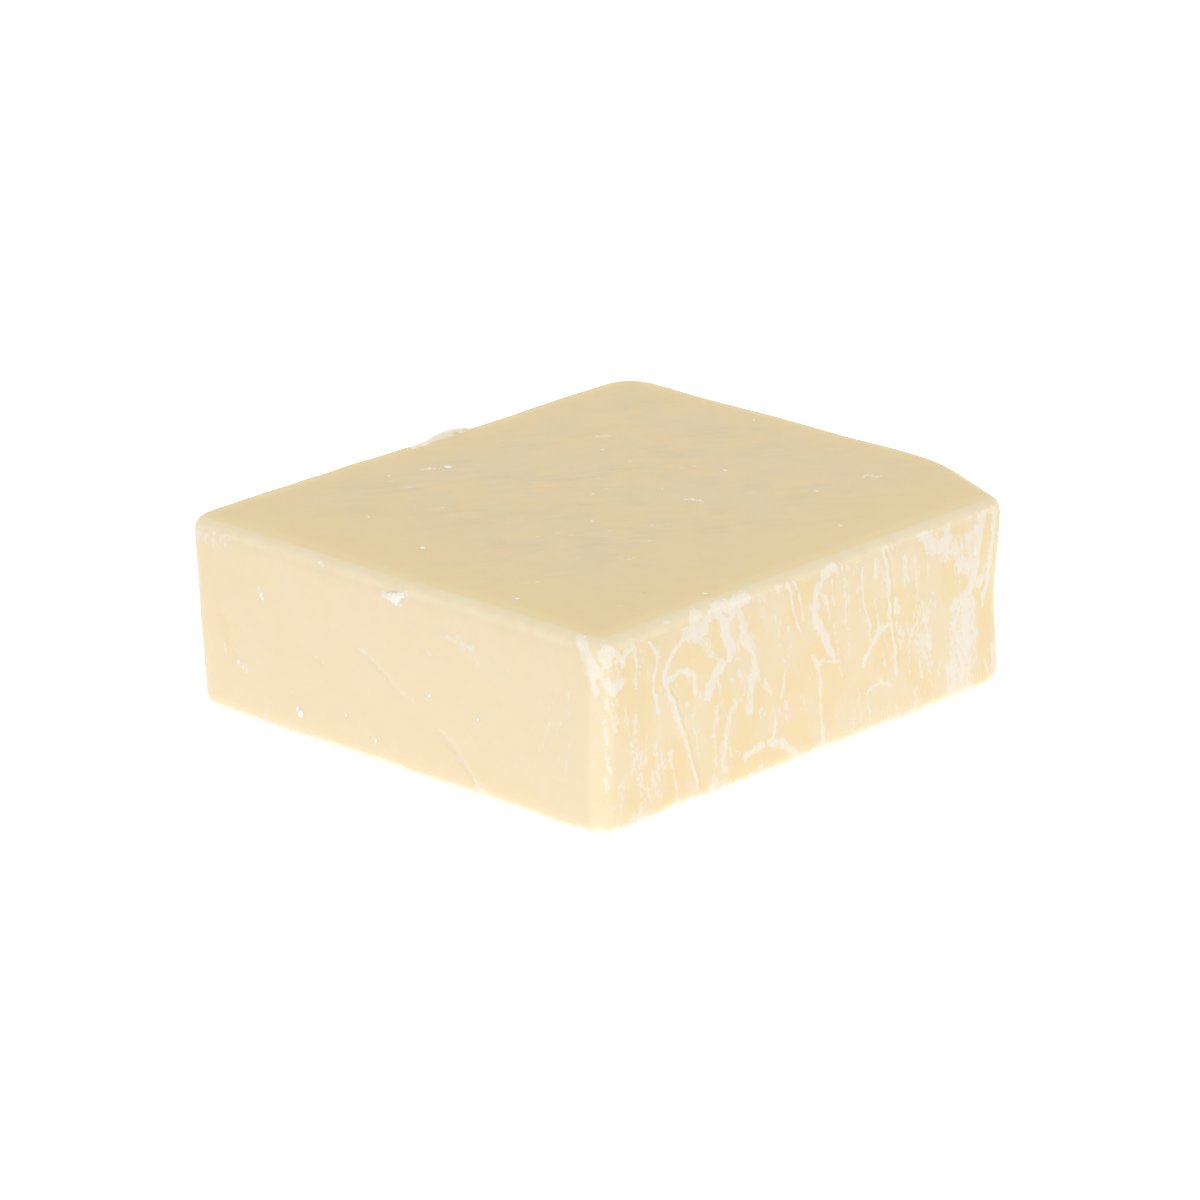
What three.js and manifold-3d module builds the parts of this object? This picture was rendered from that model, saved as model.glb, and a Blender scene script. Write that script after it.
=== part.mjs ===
// A block of pale cheddar, cut from a larger cheese: a flat rectangular slab with soft rims, uneven faces,
// one corner sliced off and a thin lip of cheese left standing on one top edge.
// Millimetres, +Z up. The origin is the middle of the underside's bounding box.
import * as THREE from "three";
import { ImprovedNoise } from "three/addons/math/ImprovedNoise.js";
import { mergeVertices } from "three/addons/utils/BufferGeometryUtils.js";
import Module from "manifold-3d";

// Size of the slab between its flat faces
const WIDTH = 104; // along X
const DEPTH = 121.5; // along Y
const HEIGHT = 37.5; // along Z

// Rounding of the upright corners, seen from above, and of the two rims
const NEAR_CORNER_RADIUS = 4; // at +X, -Y
const LEFT_CORNER_RADIUS = 5; // at -X, -Y
const BACK_CORNER_RADIUS = 8.5; // at -X, +Y
const TOP_RIM_RADIUS = 3;
const BOTTOM_RIM_RADIUS = 3;

// The sliced corner at +X, +Y, measured along both sides from the corner that is gone
const SLICE_ALONG_X = 24;
const SLICE_ALONG_Y = 10.5;
const SLICE_EDGE_RADIUS = 3.5;

// Unevenness of the faces: the -X side leans out at its top, and every face but the underside undulates
const LEFT_LEAN = 1.3;
const WAVE_HEIGHT = 0.45;
const WAVE_LENGTH = 26;
const WAVE_LAYERS = { right: 1.3, left: 4.1, front: 7.7, back: 11.2, top: 15.6 };

// An assumed flat foot, since the underside isn't seen: with the underside around it hanging clear, the block
// stands steadily on few corners. Margins are to the sides
const FOOT_SIDE_MARGIN = 8;
const FOOT_FRONT_MARGIN = 7.6;
const FOOT_BACK_MARGIN = 13.4; // wider, to stay clear of the sliced corner
const FOOT_CLEARANCE = 0.2;
const FOOT_BLEND = 2.5; // from the foot's edge to where the underside is fully clear
const FOOT = new THREE.Box2(
  new THREE.Vector2(FOOT_SIDE_MARGIN - WIDTH / 2, FOOT_FRONT_MARGIN - DEPTH / 2),
  new THREE.Vector2(WIDTH / 2 - FOOT_SIDE_MARGIN, DEPTH / 2 - FOOT_BACK_MARGIN),
);

// A shallow hollow, as from a thumb, in the front edge of the sliced corner, at half height
const HOLLOW_PLACE = new THREE.Vector3(WIDTH / 2, DEPTH / 2 - SLICE_ALONG_Y, HEIGHT / 2);
const HOLLOW_DEPTH = 1;
const HOLLOW_REACH = 9;

// The lip on the top edge of the -X side, a drop of which only the upper part stands out of the rim
const LIP_LENGTH = 16;
const LIP_THICKNESS = 3.4;
const LIP_DEPTH = 5.4;
const LIP_RISE = 0.9; // above the top face
const LIP_INSET = 1.8; // from the side's face to the lip's middle
const LIP_Y = 6.5;
const LIP_LEAN = THREE.MathUtils.degToRad(14);
const LIP_SIDES = 20;
const LIP_RINGS = 12;

// The surface grid: segments along each axis, of which some at each end are kept for the rims
const SEGMENTS = { x: 30, y: 38, z: 15 };
const RIM_SEGMENTS = 3;
const RIM_BAND = 6;
const CORE_MARGIN = 16; // from the faces to the core that the surface is found from
const OUTSIDE = 4; // how far beyond the faces the search begins
const SEARCH_STEPS = 44;

const COLOUR = 0xf0dfb8;
const ROUGHNESS = 0.5;

const noise = new ImprovedNoise();

// The larger of two distances, with the edge between their two faces rounded.
function roundedMax(a, b, radius) {
  const inside = Math.min(Math.max(a, b), -radius);
  return inside + Math.hypot(Math.max(a + radius, 0), Math.max(b + radius, 0));
}

// How far a face swells out or sinks in at a place. Each face draws from its own layer of the noise.
function wave({ x, y, z }, layer) {
  return WAVE_HEIGHT * noise.noise(x / WAVE_LENGTH + layer, y / WAVE_LENGTH, z / WAVE_LENGTH);
}

// The radius of the upright corner in the quarter of the plan where a point lies.
function cornerRadius(x, y) {
  if (x > 0) return y > 0 ? SLICE_EDGE_RADIUS : NEAR_CORNER_RADIUS;
  return y > 0 ? BACK_CORNER_RADIUS : LEFT_CORNER_RADIUS;
}

// How deep the hollow is at a place.
function hollow(place) {
  return HOLLOW_DEPTH * Math.exp(-HOLLOW_PLACE.distanceToSquared(place) / HOLLOW_REACH ** 2);
}

// The height of the underside at a place in the plan: nothing under the foot, a little around it.
function undersideHeight(x, y) {
  const beyondFoot = FOOT.distanceToPoint(new THREE.Vector2(x, y));
  return FOOT_CLEARANCE * Math.min(beyondFoot / FOOT_BLEND, 1);
}

// Distance past the plane that slices the corner off.
function slicedCorner(x, y) {
  const normal = new THREE.Vector2(SLICE_ALONG_Y, SLICE_ALONG_X).normalize();
  const cutPoint = new THREE.Vector2(WIDTH / 2 - SLICE_ALONG_X, DEPTH / 2);
  return normal.dot(new THREE.Vector2(x, y).sub(cutPoint));
}

// Distance outside the slab, negative inside it.
function slabDistance(place) {
  const { x, y, z } = place;
  const lean = LEFT_LEAN * (2 * z / HEIGHT - 1);
  const right = x - WIDTH / 2 - wave(place, WAVE_LAYERS.right);
  const left = -x - WIDTH / 2 - lean - wave(place, WAVE_LAYERS.left);
  const front = -y - DEPTH / 2 - wave(place, WAVE_LAYERS.front);
  const back = y - DEPTH / 2 - wave(place, WAVE_LAYERS.back);
  const top = z - HEIGHT - wave(place, WAVE_LAYERS.top);
  const bottom = undersideHeight(x, y) - z;

  const upright = roundedMax(Math.max(left, right), Math.max(front, back), cornerRadius(x, y));
  const sides = roundedMax(upright, slicedCorner(x, y), SLICE_EDGE_RADIUS) + hollow(place);
  return roundedMax(roundedMax(sides, top, TOP_RIM_RADIUS), bottom, BOTTOM_RIM_RADIUS);
}

// A place along an axis for a grid line, t from -1 to 1, with the lines drawn together towards both ends.
function gridPlace(t, segments, half) {
  const index = Math.round(((t + 1) / 2) * segments);
  const inner = segments - 2 * RIM_SEGMENTS;
  const fromEnd = Math.min(index, segments - index);
  const inset =
    fromEnd < RIM_SEGMENTS
      ? (RIM_BAND * fromEnd) / RIM_SEGMENTS
      : RIM_BAND + ((2 * half - 2 * RIM_BAND) * (fromEnd - RIM_SEGMENTS)) / inner;
  return index <= segments / 2 ? inset - half : half - inset;
}

// The point where the line from the slab's core to a point outside it meets the surface.
function surfacePoint(outer, middle, half) {
  const reach = half.clone().subScalar(CORE_MARGIN);
  const core = outer.clone().clamp(middle.clone().sub(reach), middle.clone().add(reach));
  let inside = 0;
  let outside = 1;
  for (let step = 0; step < SEARCH_STEPS; step++) {
    const halfway = (inside + outside) / 2;
    if (slabDistance(core.clone().lerp(outer, halfway)) < 0) inside = halfway;
    else outside = halfway;
  }
  return core.lerp(outer, outside);
}

// The slab's closed surface: the grid of a box from -1 to 1, each vertex moved onto the surface.
function slabGeometry() {
  const box = new THREE.BoxGeometry(2, 2, 2, SEGMENTS.x, SEGMENTS.y, SEGMENTS.z);
  box.deleteAttribute("normal");
  box.deleteAttribute("uv");
  const geometry = mergeVertices(box);
  const half = new THREE.Vector3(WIDTH, DEPTH, HEIGHT).multiplyScalar(0.5);
  const far = half.clone().addScalar(OUTSIDE);
  const middle = new THREE.Vector3(0, 0, HEIGHT / 2);
  const places = geometry.getAttribute("position");
  const vertex = new THREE.Vector3();
  for (let i = 0; i < places.count; i++) {
    vertex.fromBufferAttribute(places, i);
    for (const axis of ["x", "y", "z"]) vertex[axis] = gridPlace(vertex[axis], SEGMENTS[axis], far[axis]);
    const found = surfacePoint(vertex.add(middle), middle, half);
    places.setXYZ(i, found.x, found.y, found.z);
  }
  return geometry;
}

// The lip: a ball of unit diameter flattened to a drop of cheese, most of it sunk in the slab's rim.
function lipGeometry() {
  const geometry = new THREE.SphereGeometry(0.5, LIP_SIDES, LIP_RINGS);
  geometry.rotateX(Math.PI / 2);
  geometry.scale(LIP_THICKNESS, LIP_LENGTH, LIP_DEPTH);
  geometry.rotateY(-LIP_LEAN);
  geometry.translate(LIP_INSET - WIDTH / 2, LIP_Y, HEIGHT + LIP_RISE - LIP_DEPTH / 2);
  geometry.deleteAttribute("normal");
  geometry.deleteAttribute("uv");
  return mergeVertices(geometry);
}

// Two closed surfaces joined into one.
async function joined(first, second) {
  const wasm = await Module();
  wasm.setup();
  const solid = ({ attributes, index }) =>
    new wasm.Manifold(
      new wasm.Mesh({
        numProp: 3,
        vertProperties: new Float32Array(attributes.position.array),
        triVerts: new Uint32Array(index.array),
      }),
    );
  const { numProp, vertProperties, triVerts } = solid(first).add(solid(second)).getMesh();
  const whole = new THREE.BufferGeometry();
  whole.setAttribute("position", new THREE.BufferAttribute(vertProperties, numProp));
  whole.setIndex(new THREE.BufferAttribute(triVerts, 1));
  return whole;
}

// Moves a geometry so that the middle of its bounding box's underside is the origin.
function stoodOnOrigin(geometry) {
  geometry.computeBoundingBox();
  const { min, max } = geometry.boundingBox;
  return geometry.translate(-(min.x + max.x) / 2, -(min.y + max.y) / 2, -min.z);
}

const blockGeometry = stoodOnOrigin(await joined(slabGeometry(), lipGeometry()));
blockGeometry.computeVertexNormals();

const block = new THREE.Mesh(
  blockGeometry,
  new THREE.MeshStandardMaterial({ color: COLOUR, roughness: ROUGHNESS, metalness: 0 }),
);
block.name = "cheddar_block";

const cheese = new THREE.Group();
cheese.add(block);

export default cheese;
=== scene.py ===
"""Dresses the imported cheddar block: its surface with film and scratches, its specks, and a stage."""

import math
import random
from typing import NamedTuple

import bmesh
import bpy
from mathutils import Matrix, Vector
from mathutils.kdtree import KDTree


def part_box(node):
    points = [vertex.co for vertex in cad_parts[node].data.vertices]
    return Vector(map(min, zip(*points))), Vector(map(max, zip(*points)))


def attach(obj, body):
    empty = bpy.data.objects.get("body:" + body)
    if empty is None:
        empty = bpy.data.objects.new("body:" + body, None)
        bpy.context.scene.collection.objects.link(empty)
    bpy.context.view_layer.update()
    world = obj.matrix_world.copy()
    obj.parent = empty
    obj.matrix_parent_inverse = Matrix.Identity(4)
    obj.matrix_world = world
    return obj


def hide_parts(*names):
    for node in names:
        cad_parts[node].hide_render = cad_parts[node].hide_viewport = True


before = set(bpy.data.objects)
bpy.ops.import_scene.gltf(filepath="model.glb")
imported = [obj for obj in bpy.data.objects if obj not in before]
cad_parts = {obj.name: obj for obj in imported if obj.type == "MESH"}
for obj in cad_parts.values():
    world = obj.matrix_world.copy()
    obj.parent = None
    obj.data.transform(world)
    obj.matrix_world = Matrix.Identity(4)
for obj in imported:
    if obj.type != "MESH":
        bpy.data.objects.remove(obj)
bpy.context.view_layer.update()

bl_info = {
    "name": "Cheddar Block",
    "version": (1, 0, 0),
    "blender": (4, 5, 0),
    "location": "3D View > Sidebar > Cheddar",
    "description": "Gives a block of cheddar its cut surface, dried film, specks and a white stage",
    "category": "Object",
}

NODE = "cheddar_block"
BODY = "root"
MM = 0.001
LOW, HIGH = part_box(NODE)

# Lines drawn down the cut side lean this far from the upright
DRAG_TURN = (math.radians(11), 0.0, 0.0)

# Streaks on the top run at this angle from X
STREAK_TURN = (0.0, 0.0, math.radians(56))

# Names of the attributes that the surface's node tree leaves for its material
# Film marks and bare patches, and also the painted floor light on the lower rim
FILM_AND_FLOOR_LIGHT = "film"
RIM = "rim"
# Painted highlight on the rounded edges and the upright corner facing the front light
RIM_HIGHLIGHT = "pale_rim"
TOP = "top"
BAND = "top_band"
CUT = "cut_side"
HALF_WIDTH = "half_width"
STRENGTH = "strength"
RISE = "rise"
BROKEN = "broken"


class Mark(NamedTuple):
    """A smear, scratch or bare spot on a side, in millimetres."""

    half_width: float
    strength: float  # 1 is thick white film, below 0 is bare and deeper yellow
    path: tuple  # places on the side, as its two coordinates
    rise: float = 0.04  # how far it stands out, below 0 for a scratch
    broken: float = 0.0  # 1 is a row of dots


# Film on the cut side (+X), as (y, z)
CUT_SIDE_LINES = (
    # The loop near the corner, its hook and its long tail
    Mark(0.65, 1.0, ((-38.5, 33.5), (-41.5, 32), (-43.5, 30), (-45, 27.5))),
    Mark(0.6, 1.0, ((-45, 27), (-42.5, 26.5), (-40.5, 27), (-37.5, 26), (-36.5, 23.5), (-36.5, 22))),
    Mark(
        1.15, 1.0,
        ((-31, 36.5), (-29.5, 33.5), (-28, 30), (-27.5, 27), (-29.5, 24.5), (-32, 23), (-33, 20.5)),
    ),
    Mark(0.7, 0.95, ((-45, 27), (-43.5, 24), (-41.5, 19.5), (-39.5, 14.5))),
    Mark(0.5, 0.85, ((-39.5, 14.5), (-37.5, 9.5), (-35.5, 3.5))),
    # Grooves beside the tail and beside the long thread
    Mark(0.3, -0.6, ((-43.8, 25.5), (-40.6, 19.5), (-38.6, 14.5), (-36.6, 9.5), (-34.7, 3.8)), rise=-0.09),
    Mark(0.3, -0.6, ((15.4, 35.5), (17, 29), (17.5, 22.5), (19.2, 15), (19.9, 11)), rise=-0.09),
    # The upright corner: a forked patch, a thread and a dotted line below it
    Mark(0.5, 0.95, ((-59, 37), (-57.5, 35), (-55.5, 33))),
    Mark(0.45, 0.9, ((-52.5, 34.5), (-55, 34), (-55.5, 32))),
    Mark(0.4, 0.9, ((-59.5, 28), (-59.5, 21), (-59, 10)), broken=1.0),
    Mark(0.25, 0.8, ((-52, 34), (-52.5, 27))),
    Mark(0.35, 0.9, ((-48.5, 34.5), (-47, 31.5), (-47.5, 29), (-48, 26.5), (-47, 22.5), (-46, 21))),
    # Threads drawn down from the rim
    Mark(0.35, 0.75, ((-11.5, 36), (-10.5, 31.5), (-8.5, 25.5))),
    Mark(0.3, 0.7, ((-10, 36), (-8.5, 32), (-7.5, 28))),
    Mark(0.3, 0.7, ((-14.5, 36.5), (-14.5, 35))),
    Mark(0.9, 0.95, ((0.5, 36), (-2, 35), (-4, 32.5), (-4.5, 29.5), (-3.5, 26.5), (-1.5, 22.5), (0.5, 19))),
    Mark(0.3, 0.85, ((3.5, 33), (3.5, 30), (4, 25)), broken=1.0),
    Mark(0.3, 0.7, ((7.5, 32), (7, 29.5)), broken=1.0),
    Mark(0.35, 0.7, ((8.5, 33.5), (8.5, 28.5), (10, 24), (11.5, 18.5))),
    Mark(0.45, 0.85, ((14.5, 36), (16, 29.5), (16.5, 23), (18, 16.5), (19, 11))),
    Mark(0.3, 0.65, ((18, 28), (18, 23), (19, 19)), broken=1.0),
    Mark(0.7, 0.8, ((16.5, 21), (13.5, 20.5), (11.5, 18), (9, 15))),
    Mark(0.45, 0.7, ((-5, 20.5), (-3, 16), (-2.5, 11), (-1.5, 2))),
    Mark(0.35, 0.6, ((-12.5, 19.5), (-13, 17), (-14, 12.5))),
    Mark(0.5, 0.7, ((10, 9.5), (12, 10), (14.5, 10), (17.5, 9)), broken=0.6),
    Mark(0.45, 0.6, ((-4, 19), (-1, 18.5), (2.5, 17.5))),
    # Near the sliced corner
    Mark(0.7, 0.95, ((46.5, 35), (46, 29), (45.5, 22), (44, 17.5))),
    Mark(0.4, 0.7, ((44.5, 6.5), (46, 3))),
    Mark(0.4, 0.7, ((47.5, 9.5), (47, 5))),
    Mark(0.45, 0.6, ((24.5, 19.5), (23, 17), (27, 12), (28, 9)), broken=0.6),
    Mark(0.4, 0.6, ((-50.5, 9), (-50.5, 5.5), (-51, 2)), broken=0.5),
    Mark(0.4, 0.55, ((-49.5, 17.5), (-49.5, 13), (-51.5, 10)), broken=0.5),
    Mark(0.5, 0.8, ((-43.5, 38), (-43, 37.5))),
    Mark(0.5, 0.8, ((-25, 22.5), (-24.5, 22))),
)
CUT_SIDE_SMEARS = (
    # Thick film along the rim at the loop, and the loop's bare inside
    Mark(1.5, 1.0, ((-36, 37), (-37, 35), (-38, 33.5), (-34.5, 33))),
    Mark(1.1, 1.0, ((-32.5, 35.5), (-29.5, 36), (-26, 36), (-22.5, 36.5))),
    Mark(0.9, 0.9, ((-24.5, 35), (-26.5, 34))),
    Mark(1.0, 0.5, ((-34, 31), (-32, 28), (-29.5, 26))),
    Mark(3.2, -0.7, ((-40, 30), (-36, 29), (-34, 27))),
    # The upright corner
    Mark(1.0, 1.0, ((-59.5, 29.5), (-58, 28.5), (-56.5, 28.5))),
    Mark(1.3, 0.8, ((-60, 36), (-59, 33))),
    # Broad pale strokes between the loop and the middle
    Mark(0.9, 0.7, ((-24, 33.5), (-23, 29), (-21, 24.5), (-20.5, 21.5), (-22, 18.5), (-21.5, 14.5))),
    Mark(0.7, 0.6, ((-26, 17.5), (-27.5, 14), (-28.5, 9.5), (-28.5, 5.5))),
    Mark(0.7, 0.55, ((-30.5, 18), (-31.5, 12.5))),
    Mark(0.8, 0.75, ((-23, 6.5), (-20, 7), (-16, 7), (-12.5, 5.5), (-9, 2.5))),
    Mark(0.6, 0.65, ((-15, 10.5), (-16, 7))),
    Mark(0.8, 0.6, ((-17.5, 19), (-16.5, 16.5))),
    Mark(0.8, 0.6, ((12.5, 34), (12.5, 31.5))),
    Mark(0.6, 0.5, ((-31.5, 6), (-31, 3))),
    # Cloudy bands towards the sliced corner
    Mark(3.0, 0.45, ((33, 31), (37, 31), (40.5, 32), (40, 26))),
    Mark(3.0, 0.45, ((37, 19), (37.5, 10), (37, 3))),
    Mark(2.2, 0.35, ((24.5, 24), (25.5, 16), (27, 10))),
    Mark(1.7, 0.65, ((37.5, 20), (38, 12), (38.5, 2))),
    Mark(1.5, 0.55, ((35, 20), (35, 11), (35, 2))),
    Mark(1.6, 0.6, ((40, 19.5), (39.5, 11.5), (39.5, 2))),
    Mark(1.5, 0.7, ((36.5, 28), (38.5, 26), (40.5, 27.5))),
    Mark(1.5, 0.9, ((26, 35.5), (29.5, 33), (32.5, 33))),
    Mark(1.6, 0.8, ((42.5, 34.5), (41.5, 30), (40.5, 23.5))),
    Mark(1.2, 0.75, ((43, 23), (39, 21.5), (37.5, 19))),
    Mark(0.8, 0.5, ((24.5, 6), (24.5, 3.5))),
    Mark(1.8, -0.8, ((45, 16), (44, 10))),
    Mark(0.7, -0.7, ((44, 33), (44, 26))),
)

# Marks on the smooth side (-Y), as (x, z)
SMOOTH_SIDE_LINES = (
    # The white chip under the rim
    Mark(0.6, 1.0, ((-0.5, 34), (2.5, 34), (4.5, 35.5)), rise=0.15),
    Mark(0.5, 1.0, ((2.5, 34), (3, 33)), rise=0.12),
    # Two parts of one long scratch
    Mark(0.35, 0.5, ((-7, 22), (-2, 19.5), (3.5, 16), (6.5, 15.5)), rise=-0.1),
    Mark(0.4, 0.55, ((12.5, 11.5), (16.5, 9), (20.5, 5), (24, 1.5)), rise=-0.16),
    # Nicks and ticks
    Mark(0.45, 0.7, ((-32.5, 27.5), (-31.5, 25.5))),
    Mark(0.35, 0.8, ((-17, 36.5), (-15.5, 36))),
    Mark(0.3, 0.6, ((-42, 15), (-41.5, 13))),
    Mark(0.35, 0.7, ((-39, 12), (-37.5, 12), (-36, 10.5))),
    Mark(0.3, 0.5, ((22, 11.5), (23.5, 11))),
    Mark(0.3, 0.4, ((22.5, 29), (22.5, 25.5))),
    # A fan of fine scratches near the upright corner
    Mark(0.25, 0.5, ((46.5, 29), (44.5, 25), (41.5, 17.5)), rise=-0.08),
    Mark(0.25, 0.5, ((42, 26), (39.5, 21)), rise=-0.08),
    Mark(0.25, 0.5, ((43.5, 17.5), (43, 13.5)), rise=-0.08),
    Mark(0.6, 1.0, ((50, 31), (51, 28))),
)
SMOOTH_SIDE_SMEARS = (
    Mark(1.4, 1.0, ((47, 37), (49, 34), (50.5, 31.5))),
    Mark(1.4, 0.42, ((-52, 34.5), (-47, 34), (-41, 34.5))),
    Mark(1.0, 0.5, ((15, 29.5), (19, 29.5), (22, 28.5))),
    Mark(1.0, -0.6, ((-44, 20), (-42, 19), (-41, 15.5)), rise=-0.12),
)

# Marks on the top, as (x, y): the line behind the lip and two pits, then the pale lip and small flecks
TOP_LINES = (
    Mark(0.4, -0.6, ((-48.4, 2), (-48.2, 6), (-48.4, 12))),
    Mark(0.35, -0.8, ((40, -37), (40.5, -36.5)), rise=-0.2),
    Mark(0.35, -0.8, ((-37, 53), (-36.5, 53.5)), rise=-0.2),
)
TOP_SMEARS = (
    Mark(1.2, 1.0, ((-50, -3), (-49.6, 3), (-49.6, 9))),
    Mark(0.7, 0.6, ((9.6, 8), (11, 9.2), (12.6, 9.6))),
    Mark(0.7, 0.5, ((-28, 25), (-26.3, 27))),
    Mark(0.8, 0.5, ((25.5, 40.8), (27.5, 43))),
    Mark(0.7, 0.5, ((-38.5, -12), (-36.8, -9.5))),
    Mark(0.6, 0.4, ((-33, -23), (-31.5, -21.5))),
)

# Marks guessed for the two hidden sides: -X as (y, z) and +Y as (x, z)
LEFT_SIDE_LINES = (
    Mark(0.35, 0.5, ((-30, 27), (-22, 22), (-15, 18)), rise=-0.1),
    Mark(0.4, 0.6, ((25, 31), (27, 30))),
    Mark(0.3, 0.5, ((40, 12), (41, 9))),
)
BACK_SIDE_LINES = (
    Mark(0.35, 0.5, ((-5, 30), (2, 22), (6, 15)), rise=-0.1),
    Mark(0.4, 0.6, ((-28, 12), (-26, 11.5))),
    Mark(0.4, 0.6, ((14, 33), (16, 33.5))),
)

# White specks, in millimetres: places on the top as (x, y) with a radius, and on the smooth side as (x, z)
TOP_SPECKS = (
    (-36, -7.5, 0.95), (-37.5, -11, 0.45), (-32, -22, 0.4), (-27, 26, 0.4), (-21.5, 19.5, 0.4),
    (11, 9, 0.6), (12.2, 9.8, 0.4), (10, 8, 0.35), (3.5, 26.5, 0.45), (-13, 53.5, 0.4),
    (6, -13, 0.45), (-6.5, -44.5, 0.6), (26, -54, 0.5), (48.5, -29.5, 0.55), (26.5, 42, 0.4),
    (25, 28, 0.5), (41, 16, 0.4), (-4.5, -1.5, 0.35), (-40, -19.5, 0.35),
)
SMOOTH_SIDE_SPECKS = (
    (1.2, 34.1, 0.8), (2.2, 33.9, 1.0), (3.2, 34.3, 0.9), (2.6, 33.1, 0.6), (4.2, 35, 0.6),
    (-32, 26.5, 0.5), (-31.6, 25.8, 0.35), (-38.2, 12, 0.5), (-37, 11.2, 0.4), (-16, 36.2, 0.45),
    (10.5, 17.5, 0.45), (-22, 6, 0.85), (-22.8, 6.8, 0.5), (-10.5, 8.5, 0.35), (-3, 5.5, 0.5),
    (22.5, 16, 0.45),
)


def on_cut_side(y, z):
    return Vector((HIGH.x, y * MM, z * MM))


def on_smooth_side(x, z):
    return Vector((x * MM, LOW.y, z * MM))


def on_top(x, y):
    return Vector((x * MM, y * MM, HIGH.z))


def on_left_side(y, z):
    return Vector((LOW.x, y * MM, z * MM))


def on_back_side(x, z):
    return Vector((x * MM, HIGH.y, z * MM))


def fine_cuts(seed, count, across, along, heading, spread, lengths=(1.2, 4.5)):
    """Shallow cuts that begin within those two spans of a side, most of them near one heading."""
    draw = random.Random(seed)
    cuts = []
    for _ in range(count):
        u = draw.uniform(*across)
        v = draw.uniform(*along)
        angle = math.radians(heading + draw.uniform(-spread, spread))
        bend = draw.uniform(-0.35, 0.35)
        length = draw.uniform(*lengths)
        strength = draw.choice((0.45, 0.35, -0.4, -0.3))
        half = length / 2
        middle = (u + half * math.cos(angle), v + half * math.sin(angle))
        end = (middle[0] + half * math.cos(angle + bend), middle[1] + half * math.sin(angle + bend))
        half_width = draw.uniform(0.2, 0.32)
        rise = draw.uniform(-0.09, -0.04)
        cuts.append(Mark(half_width, strength, ((u, v), middle, end), rise=rise))
    return tuple(cuts)


def drawn_threads(seed, count):
    """Faint threads of film on the cut side that the wire drew downwards, leaning a little towards +Y."""
    draw = random.Random(seed)
    threads = []
    for _ in range(count):
        y = draw.uniform(-54, 44)
        z = draw.uniform(9, 36)
        length = draw.uniform(3, 12)
        lean = draw.uniform(0.1, 0.25)
        end = max(z - length, 1.5)
        middle = (y + lean * (z - end) / 2 + draw.uniform(-0.4, 0.4), (z + end) / 2)
        path = ((y, z), middle, (y + lean * (z - end), end))
        strength = draw.choice((0.6, 0.5, 0.45, -0.4))
        threads.append(Mark(draw.uniform(0.2, 0.4), strength, path, rise=0.02, broken=draw.uniform(0, 0.9)))
    return tuple(threads)


LINES = (
    (on_cut_side, CUT_SIDE_LINES + drawn_threads(3, 34)),
    (on_smooth_side, SMOOTH_SIDE_LINES + fine_cuts(5, 14, (-48, 44), (4, 33), -45, 60)),
    (on_smooth_side, fine_cuts(29, 12, (39, 47), (15, 30), -112, 9, (4, 9))),
    (on_top, TOP_LINES + fine_cuts(11, 44, (-46, 46), (-54, 48), 56, 16)),
    (on_left_side, LEFT_SIDE_LINES + fine_cuts(17, 12, (-55, 50), (4, 33), -45, 60)),
    (on_back_side, BACK_SIDE_LINES + fine_cuts(23, 12, (-44, 24), (4, 33), 45, 60)),
)
SMEARS = ((on_cut_side, CUT_SIDE_SMEARS), (on_smooth_side, SMOOTH_SIDE_SMEARS), (on_top, TOP_SMEARS))


# Nodes


def socket(sockets, key):
    """The socket at that index, or the enabled one of that name."""
    if isinstance(key, int):
        return sockets[key]
    return next(s for s in sockets if s.name == key and s.enabled)


def node(tree, kind, inputs=None, **settings):
    """Adds a node. An input takes another node's output, or a value of its own."""
    made = tree.nodes.new(kind)
    for name, value in settings.items():
        setattr(made, name, value)
    for key, value in (inputs or {}).items():
        target = socket(made.inputs, key)
        if isinstance(value, bpy.types.NodeSocket):
            tree.links.new(value, target)
        else:
            target.default_value = value
    return made


def math_of(tree, operation, a, b=0.0):
    return node(tree, "ShaderNodeMath", {0: a, 1: b}, operation=operation).outputs[0]


def product(tree, a, b):
    return math_of(tree, "MULTIPLY", a, b)


def total(tree, a, b):
    return math_of(tree, "ADD", a, b)


def vector_of(tree, operation, a, b):
    return node(tree, "ShaderNodeVectorMath", {0: a, 1: b}, operation=operation).outputs[0]


def ramp(tree, value, start, end, low=0.0, high=1.0):
    """A smooth step from low at start to high at end."""
    inputs = {"Value": value, "From Min": start, "From Max": end, "To Min": low, "To Max": high}
    return node(tree, "ShaderNodeMapRange", inputs, interpolation_type="SMOOTHSTEP").outputs["Result"]


def grain(tree, place, size, turn=None, detail=2.0):
    """Noise from 0 to 1 whose lumps have that size in metres, along axes that are turned first."""
    if turn:
        turned = {"Vector": place, "Rotation": turn}
        rotate = node(tree, "ShaderNodeVectorRotate", turned, rotation_type="EULER_XYZ", invert=True)
        place = rotate.outputs[0]
    if isinstance(size, float):
        size = (size, size, size)
    place = vector_of(tree, "DIVIDE", place, size)
    return node(tree, "ShaderNodeTexNoise", {"Vector": place, "Scale": 1.0, "Detail": detail}).outputs["Fac"]


def swing(tree, noise, height):
    """Turns noise from 0 to 1 into a swing of that height about zero."""
    centred = math_of(tree, "SUBTRACT", noise, 0.5)
    return product(tree, centred, product(tree, height, 2.0))


def mixed(tree, factor, a, b):
    inputs = {"Factor": factor, "A": a, "B": b}
    return node(tree, "ShaderNodeMix", inputs, data_type="RGBA").outputs[2]


def attribute(tree, name):
    return node(tree, "ShaderNodeAttribute", attribute_name=name).outputs["Fac"]


def parts(tree, vector):
    """A vector's X, Y and Z."""
    return node(tree, "ShaderNodeSeparateXYZ", {"Vector": vector}).outputs


def given_size(tree, length):
    """One length on all three axes."""
    return node(tree, "ShaderNodeCombineXYZ", {"X": length, "Y": length, "Z": length}).outputs[0]


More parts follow.
